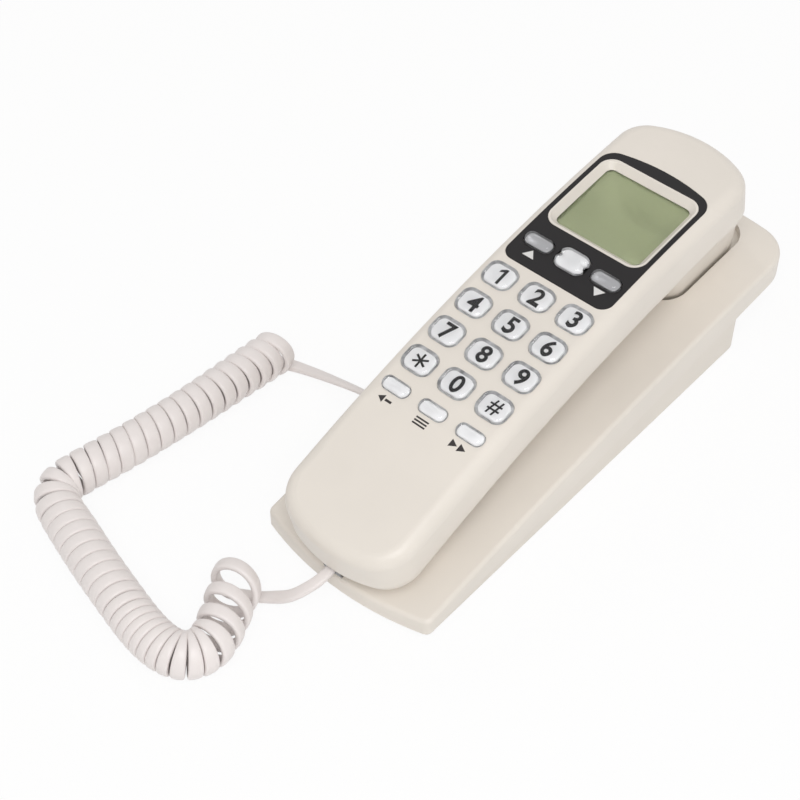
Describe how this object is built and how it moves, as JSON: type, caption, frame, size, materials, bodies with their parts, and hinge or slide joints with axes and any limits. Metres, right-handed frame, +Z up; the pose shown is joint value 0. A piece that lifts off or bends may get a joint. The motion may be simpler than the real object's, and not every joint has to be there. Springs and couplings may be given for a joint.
{
  "type": "corded telephone",
  "caption": "Slim corded desk telephone: a handset with keypad and recessed display lies face up on a wedge-shaped base, joined to it by a curly cord.",
  "frame": {"origin": "on the table, under the middle of the phone without its cord", "axes": "+X to the right of a person facing the keypad, +Y from the mouthpiece end to the earpiece end, +Z up"},
  "size_m": [0.1387, 0.2785, 0.07],
  "materials": {
    "shell": "fine satin moulding",
    "panel": "satin",
    "key_cap": "clear, silvered from behind",
    "window": "clear",
    "lcd": "reflective display",
    "board": "lacquered",
    "rubber": "matt",
    "steel": "bright",
    "dark_plastic": "matt",
    "plug": "clear",
    "cord": "satin vinyl",
    "capsule": "matt"
  },
  "bodies": {
    "base": {"base_top_cover": "shell", "base_bottom_shell": "shell", "base_circuit_board": "board", "hook_switch": "dark_plastic", "line_socket": "dark_plastic", "base_cord_socket": "dark_plastic", "base_cord_plug": "plug", "sounder": "dark_plastic", "base_foot_1": "rubber", "base_foot_2": "rubber", "base_foot_3": "rubber", "base_foot_4": "rubber", "base_screw_1": "steel", "base_screw_2": "steel", "base_screw_3": "steel", "base_screw_4": "steel", "cord_base_lead": "cord", "cord_coil": "cord", "cord_handset_lead": "cord"},
    "handset": {"handset_front_shell": "shell", "handset_back_shell": "shell", "display_panel": "panel", "display_window": "window", "lcd_module": "lcd", "handset_circuit_board": "board", "keypad_mat": "rubber", "handset_screw_left": "steel", "handset_screw_right": "steel", "earpiece_gasket": "rubber", "earpiece_receiver": "capsule", "microphone_boot": "rubber", "microphone": "capsule", "handset_cord_socket": "dark_plastic", "handset_cord_plug": "plug"},
    "hook_plunger": {"hook_plunger": "shell"},
    "key_star": {"key_star": "key_cap"},
    "key_0": {"key_0": "key_cap"},
    "key_hash": {"key_hash": "key_cap"},
    "key_7": {"key_7": "key_cap"},
    "key_8": {"key_8": "key_cap"},
    "key_9": {"key_9": "key_cap"},
    "key_4": {"key_4": "key_cap"},
    "key_5": {"key_5": "key_cap"},
    "key_6": {"key_6": "key_cap"},
    "key_1": {"key_1": "key_cap"},
    "key_2": {"key_2": "key_cap"},
    "key_3": {"key_3": "key_cap"},
    "key_delete": {"key_delete": "key_cap"},
    "key_set": {"key_set": "key_cap"},
    "key_redial": {"key_redial": "key_cap"},
    "key_up": {"key_up": "key_cap"},
    "key_out": {"key_out": "key_cap"},
    "key_down": {"key_down": "key_cap"}
  },
  "joints": [
    {"name": "handset_lift", "type": "slide", "parent": "base", "child": "handset", "axis": [0, -0.2096, 0.9778], "range_m": [0, 0.12]},
    {"name": "hook_travel", "type": "slide", "parent": "base", "child": "hook_plunger", "axis": [0, 0, 1], "range_m": [0, 0.004]},
    {"name": "press_star", "type": "slide", "parent": "handset", "child": "key_star", "axis": [0, 0.2421, -0.9703], "range_m": [0, 0.0012], "stiffness_N_per_m": 600},
    {"name": "press_0", "type": "slide", "parent": "handset", "child": "key_0", "axis": [0, 0.2421, -0.9703], "range_m": [0, 0.0012], "stiffness_N_per_m": 600},
    {"name": "press_hash", "type": "slide", "parent": "handset", "child": "key_hash", "axis": [0, 0.2421, -0.9703], "range_m": [0, 0.0012], "stiffness_N_per_m": 600},
    {"name": "press_7", "type": "slide", "parent": "handset", "child": "key_7", "axis": [0, 0.2205, -0.9754], "range_m": [0, 0.0012], "stiffness_N_per_m": 600},
    {"name": "press_8", "type": "slide", "parent": "handset", "child": "key_8", "axis": [0, 0.2205, -0.9754], "range_m": [0, 0.0012], "stiffness_N_per_m": 600},
    {"name": "press_9", "type": "slide", "parent": "handset", "child": "key_9", "axis": [0, 0.2205, -0.9754], "range_m": [0, 0.0012], "stiffness_N_per_m": 600},
    {"name": "press_4", "type": "slide", "parent": "handset", "child": "key_4", "axis": [0, 0.1987, -0.9801], "range_m": [0, 0.0012], "stiffness_N_per_m": 600},
    {"name": "press_5", "type": "slide", "parent": "handset", "child": "key_5", "axis": [0, 0.1987, -0.9801], "range_m": [0, 0.0012], "stiffness_N_per_m": 600},
    {"name": "press_6", "type": "slide", "parent": "handset", "child": "key_6", "axis": [0, 0.1987, -0.9801], "range_m": [0, 0.0012], "stiffness_N_per_m": 600},
    {"name": "press_1", "type": "slide", "parent": "handset", "child": "key_1", "axis": [0, 0.1769, -0.9842], "range_m": [0, 0.0012], "stiffness_N_per_m": 600},
    {"name": "press_2", "type": "slide", "parent": "handset", "child": "key_2", "axis": [0, 0.1769, -0.9842], "range_m": [0, 0.0012], "stiffness_N_per_m": 600},
    {"name": "press_3", "type": "slide", "parent": "handset", "child": "key_3", "axis": [0, 0.1769, -0.9842], "range_m": [0, 0.0012], "stiffness_N_per_m": 600},
    {"name": "press_delete", "type": "slide", "parent": "handset", "child": "key_delete", "axis": [0, 0.2608, -0.9654], "range_m": [0, 0.0012], "stiffness_N_per_m": 600},
    {"name": "press_set", "type": "slide", "parent": "handset", "child": "key_set", "axis": [0, 0.2608, -0.9654], "range_m": [0, 0.0012], "stiffness_N_per_m": 600},
    {"name": "press_redial", "type": "slide", "parent": "handset", "child": "key_redial", "axis": [0, 0.2608, -0.9654], "range_m": [0, 0.0012], "stiffness_N_per_m": 600},
    {"name": "press_up", "type": "slide", "parent": "handset", "child": "key_up", "axis": [0, 0.147, -0.9891], "range_m": [0, 0.0012], "stiffness_N_per_m": 600},
    {"name": "press_out", "type": "slide", "parent": "handset", "child": "key_out", "axis": [0, 0.147, -0.9891], "range_m": [0, 0.0012], "stiffness_N_per_m": 600},
    {"name": "press_down", "type": "slide", "parent": "handset", "child": "key_down", "axis": [0, 0.147, -0.9891], "range_m": [0, 0.0012], "stiffness_N_per_m": 600}
  ],
  "couplings": [
    {"joint": "hook_travel", "follows": "handset_lift", "ratio": 0.0333}
  ]
}
